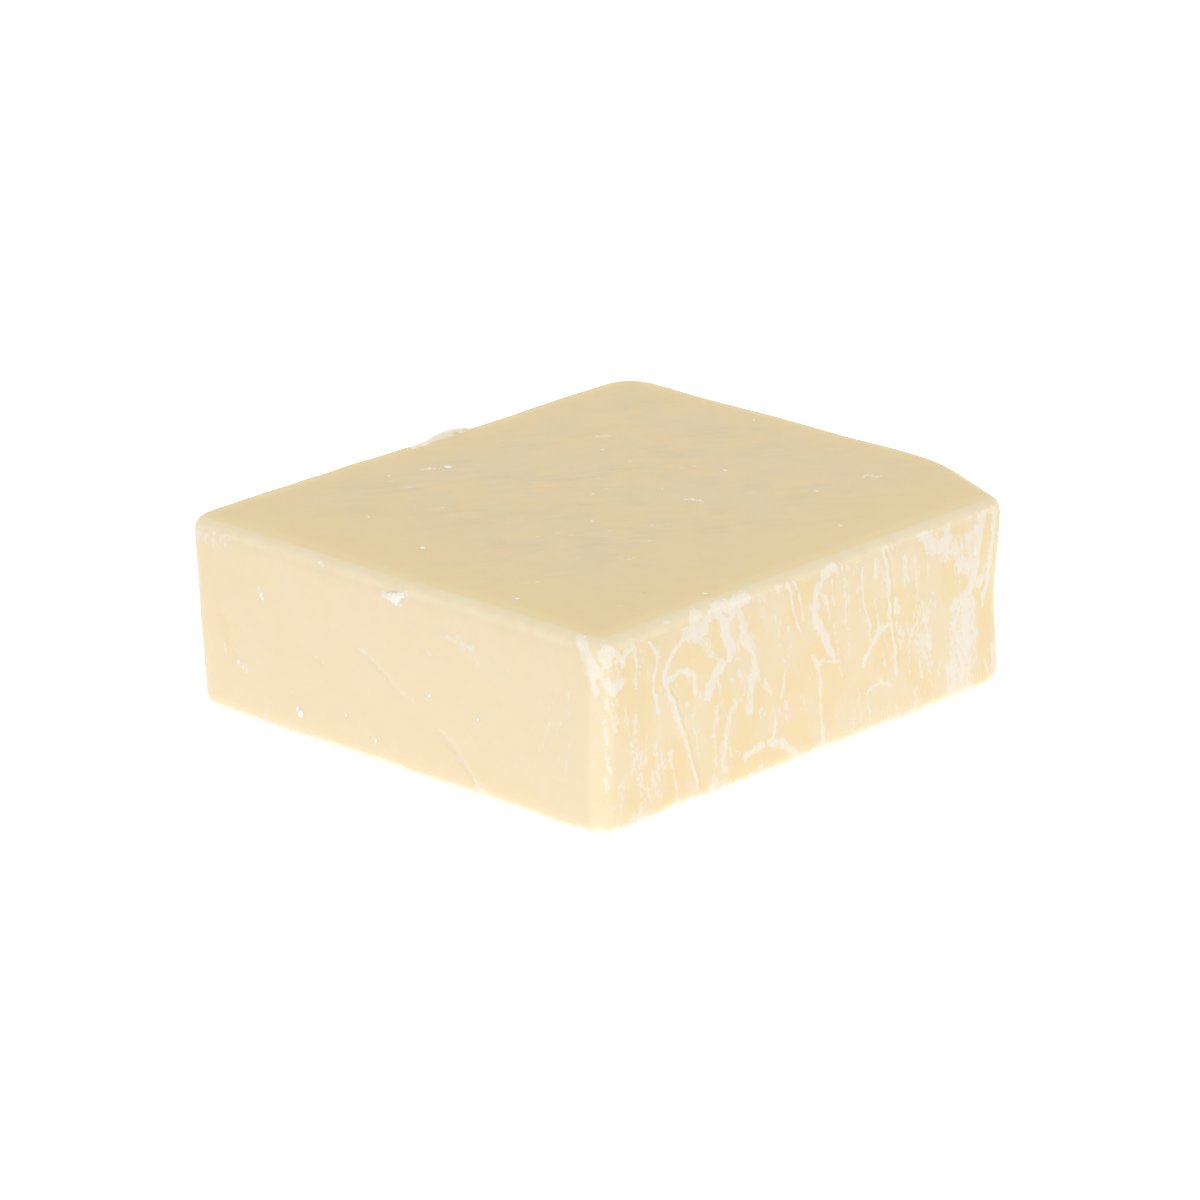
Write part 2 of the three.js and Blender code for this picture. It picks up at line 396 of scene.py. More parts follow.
def opaque(colour, brightness=1.0):
    """A colour with that brightness and full alpha."""
    return tuple(c * brightness for c in colour[:3]) + (1.0,)


def new_tree(name, inputs):
    """A geometry node tree with named inputs, and its group input and output nodes."""
    tree = bpy.data.node_groups.new(name, "GeometryNodeTree")
    tree.is_modifier = True
    tree.interface.new_socket("Geometry", in_out="OUTPUT", socket_type="NodeSocketGeometry")
    tree.interface.new_socket("Geometry", in_out="INPUT", socket_type="NodeSocketGeometry")
    for label, kind in inputs:
        tree.interface.new_socket(label, in_out="INPUT", socket_type=kind)
    return tree, node(tree, "NodeGroupInput").outputs, node(tree, "NodeGroupOutput").inputs


def as_plain_mesh(obj, tree, values):
    """Runs a node tree on an object with these named inputs and keeps the result as its plain mesh."""
    modifier = obj.modifiers.new(tree.name, "NODES")
    modifier.node_group = tree
    identifiers = {s.name: s.identifier for s in tree.interface.items_tree if s.in_out == "INPUT"}
    for name, value in values.items():
        modifier[identifiers[name]] = value
    graph = bpy.context.evaluated_depsgraph_get()
    made = bpy.data.meshes.new_from_object(obj.evaluated_get(graph), depsgraph=graph)
    obj.modifiers.remove(modifier)
    obj.data = made
    made.name = obj.name
    if not made.polygons:
        raise RuntimeError(f"{obj.name} came out empty")
    made.polygons.foreach_set("material_index", [0] * len(made.polygons))
    made.materials.clear()
    made.materials.append(values["Material"])


def new_object(name, mesh):
    obj = bpy.data.objects.new(name, mesh)
    bpy.context.scene.collection.objects.link(obj)
    return obj


# The block's surface


def mark_points(groups):
    """Every mark's places in the frame, with the mark."""
    return [([to_frame(*place) for place in mark.path], mark) for to_frame, marks in groups for mark in marks]


def mark_object(name, groups):
    """A mesh of one open line a mark, whose points carry the mark's width, strength and relief."""
    places = []
    edges = []
    values = {HALF_WIDTH: [], STRENGTH: [], RISE: [], BROKEN: []}
    for path, mark in mark_points(groups):
        edges += [(len(places) + i, len(places) + i + 1) for i in range(len(path) - 1)]
        places += path
        for _ in path:
            values[HALF_WIDTH].append(mark.half_width * MM)
            values[STRENGTH].append(mark.strength)
            values[RISE].append(mark.rise * MM)
            values[BROKEN].append(mark.broken)
    mesh = bpy.data.meshes.new(name)
    mesh.from_pydata(places, edges, [])
    for label, numbers in values.items():
        mesh.attributes.new(label, "FLOAT", "POINT").data.foreach_set("value", numbers)
    return new_object(name, mesh)


def mark_tree():
    """A search tree over places set closely along every thin mark."""
    step = 0.5 * MM
    places = []
    for path, _ in mark_points(LINES):
        for a, b in zip(path, path[1:]):
            count = max(1, math.ceil((b - a).length / step))
            places += [a.lerp(b, i / count) for i in range(count + 1)]
    found = KDTree(len(places))
    for i, place in enumerate(places):
        found.insert(place, i)
    found.balance()
    return found


def cut_finer(bm, chosen):
    """Cuts every chosen face in four."""
    edges = {e for f in chosen for e in f.edges}
    bmesh.ops.subdivide_edges(bm, edges=list(edges), cuts=1, use_grid_fill=True)


def refined_block(finest_reach):
    """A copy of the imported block, rounded, and cut finer where the surface has finer detail."""
    bm = bmesh.new()
    bm.from_mesh(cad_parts[NODE].data)
    bmesh.ops.remove_doubles(bm, verts=bm.verts, dist=0.01 * MM)
    bmesh.ops.join_triangles(
        bm, faces=bm.faces, angle_face_threshold=math.radians(50), angle_shape_threshold=math.radians(60)
    )
    mesh = bpy.data.meshes.new("cheddar_surface")
    bm.to_mesh(mesh)
    bm.free()
    block = new_object("cheddar_surface", mesh)
    rounding = block.modifiers.new("rounding", "SUBSURF")
    rounding.levels = 1
    rounding.render_levels = 1
    graph = bpy.context.evaluated_depsgraph_get()
    smooth = bpy.data.meshes.new_from_object(block.evaluated_get(graph), depsgraph=graph)
    block.modifiers.remove(rounding)

    bm = bmesh.new()
    bm.from_mesh(smooth)
    bm.normal_update()
    cut_finer(bm, [f for f in bm.faces if f.normal.z > -0.8])
    bm.normal_update()
    cut_finer(bm, [f for f in bm.faces if f.normal.x > 0.8])
    near = mark_tree()
    bm.normal_update()
    cut_finer(bm, [f for f in bm.faces if near.find(f.calc_center_median())[2] < finest_reach])
    bmesh.ops.triangulate(bm, faces=[f for f in bm.faces if len(f.verts) > 4])
    bm.to_mesh(smooth)
    bm.free()
    block.data = smooth
    return block


def laid_marks(tree, surface, marks):
    """The marks' lines as points: smoothed, wavering a little, and laid on the surface."""
    spacing = 0.2 * MM
    waver = 0.6 * MM
    waver_length = 2.4 * MM
    lines = node(tree, "GeometryNodeObjectInfo", {"Object": marks}).outputs["Geometry"]
    curve = node(tree, "GeometryNodeMeshToCurve", {"Mesh": lines}).outputs[0]
    curve = node(tree, "GeometryNodeCurveSplineType", {"Curve": curve}, spline_type="CATMULL_ROM").outputs[0]
    even = {"Curve": curve, "Length": spacing}
    curve = node(tree, "GeometryNodeResampleCurve", even, mode="LENGTH").outputs[0]
    points = node(tree, "GeometryNodeCurveToPoints", {"Curve": curve}, mode="EVALUATED").outputs["Points"]
    place = node(tree, "GeometryNodeInputPosition").outputs[0]
    scaled = vector_of(tree, "DIVIDE", place, (waver_length,) * 3)
    noise = node(tree, "ShaderNodeTexNoise", {"Vector": scaled, "Scale": 1.0, "Detail": 1.0}).outputs["Color"]
    sway = vector_of(tree, "MULTIPLY", vector_of(tree, "SUBTRACT", noise, (0.5,) * 3), (2 * waver,) * 3)
    moved = vector_of(tree, "ADD", place, sway)
    nearest = node(tree, "GeometryNodeProximity", {"Geometry": surface, "Sample Position": moved})
    laid = {"Geometry": points, "Position": nearest.outputs["Position"]}
    return node(tree, "GeometryNodeSetPosition", laid).outputs[0]


def mark_cover(tree, surface, marks):
    """How far the nearest mark covers a place, its strength there and its rise."""
    full = 0.3  # in half widths from the mark's middle
    none = 1.6
    dot_length = 1.1 * MM
    points = laid_marks(tree, surface, marks)
    place = node(tree, "GeometryNodeInputPosition").outputs[0]
    index = node(tree, "GeometryNodeSampleNearest", {"Geometry": points}).outputs[0]

    def sampled(value, data_type="FLOAT"):
        inputs = {"Geometry": points, "Value": value, "Index": index}
        return node(tree, "GeometryNodeSampleIndex", inputs, data_type=data_type).outputs[0]

    def named(name):
        return sampled(node(tree, "GeometryNodeInputNamedAttribute", {"Name": name}).outputs[0])

    middle = sampled(node(tree, "GeometryNodeInputPosition").outputs[0], "FLOAT_VECTOR")
    away = node(tree, "ShaderNodeVectorMath", {0: place, 1: middle}, operation="DISTANCE").outputs["Value"]
    uneven = ramp(tree, grain(tree, place, 2.2 * MM), 0.3, 0.7, 0.65, 1.35)
    reach = product(tree, named(HALF_WIDTH), uneven)
    cover = ramp(tree, math_of(tree, "DIVIDE", away, reach), full, none, 1.0, 0.0)
    gaps = ramp(tree, grain(tree, place, dot_length, detail=0.0), 0.5, 0.6)
    gaps = product(tree, gaps, named(BROKEN))
    cover = product(tree, cover, math_of(tree, "SUBTRACT", 1.0, gaps))
    return cover, named(STRENGTH), named(RISE)


# Bands of the top, as distances from its sides, and sizes of the relief
BAND_REACH = 34 * MM
RIM_REACH = 6 * MM
RIM_FULL = 3 * MM
FAR_NARROWING = 2.2  # how much narrower the band is along the two far sides
DRAG_SIZE = (20 * MM, 1.3 * MM, 16 * MM)
WEAR_SIZE = 8 * MM


def surface_tree():
    """Lays the marks on the block, gives it its low relief and leaves attributes for the material."""
    inputs = (
        ("Lines", "NodeSocketObject"),
        ("Smears", "NodeSocketObject"),
        ("Ripple Height", "NodeSocketFloat"),
        ("Ripple Length", "NodeSocketFloat"),
        ("Drag Height", "NodeSocketFloat"),
        ("Rim Wear", "NodeSocketFloat"),
        ("Material", "NodeSocketMaterial"),
    )
    tree, given, result = new_tree("cheddar surface", inputs)
    block = given["Geometry"]
    place = node(tree, "GeometryNodeInputPosition").outputs[0]
    normal = node(tree, "GeometryNodeInputNormal").outputs[0]
    facing = parts(tree, normal)
    up = facing["Z"]

    top = ramp(tree, up, 0.86, 0.99)
    cut_side = ramp(tree, facing["X"], 0.6, 0.93)
    from_high = parts(tree, vector_of(tree, "SUBTRACT", HIGH, place))
    from_low = parts(tree, vector_of(tree, "SUBTRACT", place, LOW))
    near_inset = math_of(tree, "MINIMUM", from_high["X"], from_low["Y"])
    far_inset = math_of(tree, "MINIMUM", from_low["X"], from_high["Y"])
    band_inset = math_of(tree, "MINIMUM", near_inset, product(tree, far_inset, FAR_NARROWING))
    band = product(tree, ramp(tree, band_inset, BAND_REACH, RIM_FULL), ramp(tree, up, 0.3, 0.9))
    # A yellower, brighter band over the outer few millimetres of the top and the start of its rounding
    rim = ramp(tree, math_of(tree, "MINIMUM", near_inset, far_inset), RIM_REACH, RIM_FULL)
    rim = math_of(tree, "MAXIMUM", rim, ramp(tree, up, 0.998, 0.96))
    rim = product(tree, rim, ramp(tree, up, 0.8, 0.95))

    # Painted highlight: a paler colour on the rounding between the sides and the top, and on the upright
    # corner that faces the front light
    pale_rim = product(tree, ramp(tree, up, 0.05, 0.45), ramp(tree, up, 0.99, 0.92))
    front = product(tree, facing["Y"], -1.0)
    corner = product(tree, ramp(tree, facing["X"], 0.03, 0.4), ramp(tree, front, 0.03, 0.4))
    corner = product(tree, corner, ramp(tree, up, 0.6, 0.3, 0.0, 0.6))
    pale_rim = math_of(tree, "MAXIMUM", pale_rim, corner)
    # Painted light: the downward-facing lower rim is whitened as if lit by the bright floor below, and is
    # carried with the film
    painted_floor_light = ramp(tree, up, -0.05, -0.6, 0.0, 0.8)
    edge = product(tree, ramp(tree, math_of(tree, "ABSOLUTE", up), 0.15, 0.5), ramp(tree, up, 0.99, 0.9))
    edge = product(tree, edge, ramp(tree, up, -0.99, -0.9))
    resting = ramp(tree, up, -0.995, -0.9)

    line_cover, line_strength, line_rise = mark_cover(tree, block, given["Lines"])
    smear_cover, smear_strength, smear_rise = mark_cover(tree, block, given["Smears"])
    smear = product(tree, smear_cover, smear_strength)
    smear = product(tree, smear, math_of(tree, "SUBTRACT", 1.0, line_cover))
    line = product(tree, line_cover, line_strength)
    film = total(tree, total(tree, smear, line), painted_floor_light)

    ripple_size = given_size(tree, given["Ripple Length"])
    ripples = swing(tree, grain(tree, place, ripple_size), given["Ripple Height"])
    drag = swing(tree, grain(tree, place, DRAG_SIZE, DRAG_TURN), given["Drag Height"])
    drag = product(tree, drag, cut_side)
    wear = swing(tree, grain(tree, place, WEAR_SIZE, detail=4.0), given["Rim Wear"])
    wear = product(tree, wear, product(tree, edge, ramp(tree, up, -0.1, 0.3, 1.0, 0.55)))
    height = total(tree, total(tree, ripples, drag), wear)
    height = total(tree, height, product(tree, line_cover, line_rise))
    height = total(tree, height, product(tree, smear_cover, smear_rise))
    height = product(tree, height, resting)

    kept = {FILM_AND_FLOOR_LIGHT: film, RIM: rim, RIM_HIGHLIGHT: pale_rim, TOP: top, BAND: band, CUT: cut_side}
    for name, value in kept.items():
        store = {"Geometry": block, "Name": name, "Value": value}
        block = node(tree, "GeometryNodeStoreNamedAttribute", store).outputs[0]
    offset = node(tree, "ShaderNodeVectorMath", {0: normal, "Scale": height}, operation="SCALE").outputs[0]
    block = node(tree, "GeometryNodeSetPosition", {"Geometry": block, "Offset": offset}).outputs[0]
    block = node(tree, "GeometryNodeSetShadeSmooth", {"Geometry": block}).outputs[0]
    block = node(tree, "GeometryNodeRealizeInstances", {"Geometry": block}).outputs[0]
    painted = {"Geometry": block, "Material": given["Material"]}
    block = node(tree, "GeometryNodeSetMaterial", painted).outputs[0]
    tree.links.new(block, result["Geometry"])
    return tree


# Sizes of the noises in the paste and its film, with x, y and z apart where they are drawn out
CLOUD_SIZE = 12 * MM
PEACH_SIZE = (12 * MM, 5 * MM, 9 * MM)
MOTTLE_SIZE = 2.4 * MM
STREAK_SIZE = (7 * MM, 1.8 * MM, 4 * MM)
DRIFT_SIZE = (18 * MM, 9 * MM, 9 * MM)
TOP_CLOUD_SIZE = 7 * MM
RIM_PATCH_SIZE = 5 * MM
HIGHLIGHT_PATCH_SIZE = 4 * MM
WISP_SIZE = (20 * MM, 1.0 * MM, 8 * MM)
WISP_PATCH_SIZE = 6 * MM
THIN_FILM_SIZE = (20 * MM, 2.4 * MM, 5 * MM)
CRUMB_SIZE = (0.7 * MM, 0.55 * MM, 1.0 * MM)
FILL_SIZE = (1.4 * MM, 0.9 * MM, 1.8 * MM)
WAX_SIZE = 3 * MM
PORE_SIZE = 0.8 * MM


def cheese_material(look):
    """Pale waxy paste: clouded, mottled and streaked, with yellower rims, a painted highlight on the rounded
    edges, painted floor light on the lower rim, and film where the surface has it.
    """
    material = bpy.data.materials.new("cheddar paste")
    material.use_nodes = True
    tree = material.node_tree
    shader = tree.nodes["Principled BSDF"]
    place = node(tree, "ShaderNodeTexCoord").outputs["Object"]
    paste = opaque(look.paste_colour)

    clouds = ramp(tree, grain(tree, place, CLOUD_SIZE, detail=3.0), 0.36, 0.64, 0.1, 0.7)
    colour = mixed(tree, clouds, paste, opaque(look.warm_colour))
    peach = ramp(tree, grain(tree, place, PEACH_SIZE, DRAG_TURN, detail=4.0), 0.38, 0.6, 0.0, 0.95)
    peach = product(tree, peach, attribute(tree, CUT))
    colour = mixed(tree, peach, colour, opaque(look.bare_colour))
    mottle = ramp(tree, grain(tree, place, MOTTLE_SIZE, detail=4.0), 0.35, 0.7, 0.0, 0.3)
    colour = mixed(tree, mottle, colour, opaque(paste, 0.96))
    colour = mixed(tree, attribute(tree, TOP), colour, opaque(look.top_colour))

    streaks = grain(tree, place, STREAK_SIZE, STREAK_TURN, detail=5.0)
    drifts = ramp(tree, grain(tree, place, DRIFT_SIZE, STREAK_TURN), 0.3, 0.7)
    streaks = product(tree, ramp(tree, streaks, 0.4, 0.68, 0.0, 0.5), drifts)
    streaks = product(tree, streaks, attribute(tree, TOP))
    colour = mixed(tree, streaks, colour, opaque(look.top_colour, 0.9))
    top_clouds = ramp(tree, grain(tree, place, TOP_CLOUD_SIZE, detail=3.0), 0.4, 0.66, 0.0, 0.5)
    band = math_of(tree, "MAXIMUM", attribute(tree, BAND), product(tree, top_clouds, attribute(tree, TOP)))
    band = product(tree, band, 0.85)
    colour = mixed(tree, band, colour, opaque(look.band_colour))

    # The yellower, brighter band along the top's rim, in patches
    rim_patches = ramp(tree, grain(tree, place, RIM_PATCH_SIZE), 0.2, 0.7, 0.45, 0.9)
    rim = product(tree, attribute(tree, RIM), rim_patches)
    colour = mixed(tree, rim, colour, opaque(look.rim_colour))
    # Painted highlight on the rounded edges, broken into patches by noise
    highlighted = ramp(tree, grain(tree, place, HIGHLIGHT_PATCH_SIZE, detail=3.0), 0.35, 0.62, 0.7, 0.95)
    highlighted = product(tree, attribute(tree, RIM_HIGHLIGHT), highlighted)
    colour = mixed(tree, highlighted, colour, opaque(look.rim_highlight_colour))

    # Film and bare patches, plus the painted floor light on the lower rim
    film = attribute(tree, FILM_AND_FLOOR_LIGHT)
    bare = ramp(tree, product(tree, film, -1.0), 0.1, 0.9, 0.0, 0.85)
    colour = mixed(tree, bare, colour, opaque(look.bare_colour))

    wisps = ramp(tree, grain(tree, place, WISP_SIZE, DRAG_TURN, detail=4.0), 0.44, 0.68)
    patches = ramp(tree, grain(tree, place, WISP_PATCH_SIZE, detail=3.0), 0.36, 0.62)
    along = parts(tree, place)["Y"]
    stronger = ramp(tree, along, 5 * MM, 36 * MM, 0.4, 0.65)
    wisps = product(tree, product(tree, wisps, patches), attribute(tree, CUT))
    wisps = product(tree, wisps, stronger)
    thin = ramp(tree, grain(tree, place, THIN_FILM_SIZE, DRAG_TURN, detail=5.0), 0.48, 0.68, 0.0, 0.42)
    thin = product(tree, thin, attribute(tree, CUT))
    raw = total(tree, total(tree, film, wisps), thin)
    crumbly = swing(tree, grain(tree, place, CRUMB_SIZE, DRAG_TURN, detail=4.0), 0.95)
    raw = total(tree, raw, product(tree, crumbly, ramp(tree, raw, 0.05, 0.4)))
    fill = ramp(tree, grain(tree, place, FILL_SIZE, DRAG_TURN, detail=3.0), 0.3, 0.65, 0.7, 1.0)
    cover = product(tree, ramp(tree, raw, 0.22, 0.74), fill)
    film_colour = opaque(look.film_colour)
    # Film on the painted rim highlight is painted brighter as well
    film_colour = mixed(tree, attribute(tree, RIM_HIGHLIGHT), film_colour, opaque(look.film_colour, 1.15))
    film_colour = mixed(tree, attribute(tree, TOP), film_colour, opaque(look.film_colour, 1.25))
    colour = mixed(tree, cover, colour, film_colour)
    tree.links.new(colour, shader.inputs["Base Color"])

    waxy = grain(tree, place, WAX_SIZE, detail=3.0)
    roughness = total(tree, ramp(tree, waxy, 0.3, 0.7, 0.44, 0.54), product(tree, cover, 0.1))
    tree.links.new(roughness, shader.inputs["Roughness"])
    shader.inputs["Subsurface Weight"].default_value = 0.4
    shader.inputs["Subsurface Radius"].default_value = (1.0, 0.6, 0.25)
    shader.inputs["Subsurface Scale"].default_value = look.glow_depth
    shader.inputs["Specular IOR Level"].default_value = 0.22

    pores = grain(tree, place, PORE_SIZE, detail=4.0)
    bump = node(tree, "ShaderNodeBump", {"Height": pores, "Strength": 0.2, "Distance": 0.08 * MM})
    tree.links.new(bump.outputs["Normal"], shader.inputs["Normal"])
    return material


# The specks


def speck_object(name):
    """Points for the listed specks, which carry their radius."""
    rows = [(on_top(x, y), radius) for x, y, radius in TOP_SPECKS]
    rows += [(on_smooth_side(x, z), radius) for x, z, radius in SMOOTH_SIDE_SPECKS]
    mesh = bpy.data.meshes.new(name)
    mesh.from_pydata([place for place, _ in rows], [], [])
    radii = [radius * MM for _, radius in rows]
    mesh.attributes.new(HALF_WIDTH, "FLOAT", "POINT").data.foreach_set("value", radii)
    return new_object(name, mesh)


def speck_tree():
    """Sets small lumps on the block: the placed ones, and finer ones strewn over it."""
    inputs = (
        ("Block", "NodeSocketObject"),
        ("Density", "NodeSocketFloat"),
        ("Smallest", "NodeSocketFloat"),
        ("Largest", "NodeSocketFloat"),
        ("Seed", "NodeSocketInt"),
        ("Material", "NodeSocketMaterial"),
    )
    tree, given, result = new_tree("cheddar specks", inputs)
    block = node(tree, "GeometryNodeObjectInfo", {"Object": given["Block"]}).outputs["Geometry"]
    normal = node(tree, "GeometryNodeInputNormal").outputs[0]
    up = parts(tree, normal)["Z"]
    shown = math_of(tree, "GREATER_THAN", up, -0.3)
    spread = {"Mesh": block, "Selection": shown, "Density": given["Density"], "Seed": given["Seed"]}
    strewn = node(tree, "GeometryNodeDistributePointsOnFaces", spread).outputs["Points"]
    size = {"Min": given["Smallest"], "Max": given["Largest"], "Seed": given["Seed"]}
    radius = node(tree, "FunctionNodeRandomValue", size).outputs[1]
    store = {"Geometry": strewn, "Name": HALF_WIDTH, "Value": radius}
    strewn = node(tree, "GeometryNodeStoreNamedAttribute", store).outputs[0]
    placed = node(tree, "GeometryNodeMeshToPoints", {"Mesh": given["Geometry"]}).outputs[0]
    points = node(tree, "GeometryNodeJoinGeometry", {"Geometry": placed})
    tree.links.new(strewn, points.inputs["Geometry"])
    points = points.outputs[0]

    nearest = node(tree, "GeometryNodeProximity", {"Geometry": block}).outputs["Position"]
    points = node(tree, "GeometryNodeSetPosition", {"Geometry": points, "Position": nearest}).outputs[0]
    sample = {"Mesh": block, "Value": normal}
    outward = node(tree, "GeometryNodeSampleNearestSurface", sample, data_type="FLOAT_VECTOR").outputs[0]
    standing = node(tree, "FunctionNodeAlignRotationToVector", {"Vector": outward}).outputs[0]
    turn = {"Min": (0.0, 0.0, 0.0), "Max": (0.3, 0.3, math.tau), "Seed": given["Seed"]}
    turn = node(tree, "FunctionNodeRandomValue", turn, data_type="FLOAT_VECTOR").outputs[0]
    turned = {"Rotation": standing, "Rotate By": turn}
    turned = node(tree, "FunctionNodeRotateRotation", turned, rotation_space="LOCAL").outputs[0]

    shape = {"Min": (0.8, 0.6, 0.18), "Max": (1.5, 1.0, 0.32), "Seed": given["Seed"]}
    shape = node(tree, "FunctionNodeRandomValue", shape, data_type="FLOAT_VECTOR").outputs[0]
    radius = node(tree, "GeometryNodeInputNamedAttribute", {"Name": HALF_WIDTH}).outputs[0]
    scale = node(tree, "ShaderNodeVectorMath", {0: shape, "Scale": radius}, operation="SCALE").outputs[0]
    lump = node(tree, "GeometryNodeMeshIcoSphere", {"Radius": 1.0, "Subdivisions": 2}).outputs["Mesh"]
    instances = {"Points": points, "Instance": lump, "Rotation": turned, "Scale": scale}
    lumps = node(tree, "GeometryNodeInstanceOnPoints", instances).outputs[0]
    lumps = node(tree, "GeometryNodeRealizeInstances", {"Geometry": lumps}).outputs[0]
    place = node(tree, "GeometryNodeInputPosition").outputs[0]
    rough = swing(tree, grain(tree, place, 0.45 * MM), 0.12 * MM)
    offset = node(tree, "ShaderNodeVectorMath", {0: normal, "Scale": rough}, operation="SCALE").outputs[0]
    lumps = node(tree, "GeometryNodeSetPosition", {"Geometry": lumps, "Offset": offset}).outputs[0]
    lumps = node(tree, "GeometryNodeSetShadeSmooth", {"Geometry": lumps}).outputs[0]
    painted = {"Geometry": lumps, "Material": given["Material"]}
    lumps = node(tree, "GeometryNodeSetMaterial", painted).outputs[0]
    tree.links.new(lumps, result["Geometry"])
    return tree


def speck_material(look):
    """Chalky white of dried crumbs and crystals, uneven from one to the next."""
    material = bpy.data.materials.new("cheddar crumbs")
    material.use_nodes = True
    tree = material.node_tree
    shader = tree.nodes["Principled BSDF"]
    place = node(tree, "ShaderNodeTexCoord").outputs["Object"]
    varied = ramp(tree, grain(tree, place, 2.5 * MM), 0.35, 0.65)
    colour = mixed(tree, varied, opaque(look.speck_colour), opaque(look.speck_colour, 0.93))
    height = parts(tree, place)["Z"]
    # Painted light: specks on the top get a brighter colour to make up for the dimmer light that falls on the
    # top
    on_top_face = ramp(tree, height, HIGH.z - 2.5 * MM, HIGH.z - 1.5 * MM)
    colour = mixed(tree, on_top_face, colour, opaque(look.top_speck_colour))
    tree.links.new(colour, shader.inputs["Base Color"])
    chalky = ramp(tree, grain(tree, place, 0.3 * MM), 0.3, 0.7, 0.5, 0.7)
    tree.links.new(chalky, shader.inputs["Roughness"])
    shader.inputs["Subsurface Weight"].default_value = 0.3
    shader.inputs["Subsurface Radius"].default_value = (1.0, 0.7, 0.4)
    shader.inputs["Subsurface Scale"].default_value = 0.5 * MM
    return material


# The stage


# Sizes of the stage in metres
FLOOR_DROP = 0.1 * MM  # below the block's underside
GLOW_NEAR = 0.08
GLOW_FAR = 0.3
FRONT_WIDTH = 1.2
FRONT_HEIGHT = 0.6
FRONT_DISTANCE = 1.3
SENSOR_WIDTH_MM = 36.0


def floor_object(stage):
    half = stage.floor_size / 2
    below = -FLOOR_DROP
    corners = [(-half, -half, below), (half, -half, below), (half, half, below), (-half, half, below)]
    mesh = bpy.data.meshes.new("floor")
    mesh.from_pydata(corners, [], [(0, 1, 2, 3)])
    material = bpy.data.materials.new("white sweep")
    material.use_nodes = True
    tree = material.node_tree
    shader = tree.nodes["Principled BSDF"]
    shader.inputs["Base Color"].default_value = (0.8, 0.8, 0.8, 1.0)
    shader.inputs["Roughness"].default_value = 0.9
    shader.inputs["Emission Color"].default_value = (1.0, 1.0, 1.0, 1.0)
    place = node(tree, "ShaderNodeTexCoord").outputs["Object"]
    away = node(tree, "ShaderNodeVectorMath", {0: place}, operation="LENGTH").outputs["Value"]
    glow = ramp(tree, away, GLOW_NEAR, GLOW_FAR, stage.near_glow, stage.far_glow)
    tree.links.new(glow, shader.inputs["Emission Strength"])
    mesh.materials.append(material)
    return new_object("floor", mesh)


def direction(azimuth, elevation):
    """From the block towards a place at that azimuth, 0 being -Y, and elevation."""
    flat = math.cos(elevation)
    return Vector((math.sin(azimuth) * flat, -math.cos(azimuth) * flat, math.sin(elevation)))


def aimed(obj, azimuth, elevation, distance, aim):
    obj.location = aim + distance * direction(azimuth, elevation)
    obj.rotation_euler = (math.pi / 2 - elevation, 0.0, azimuth)
    bpy.context.scene.collection.objects.link(obj)


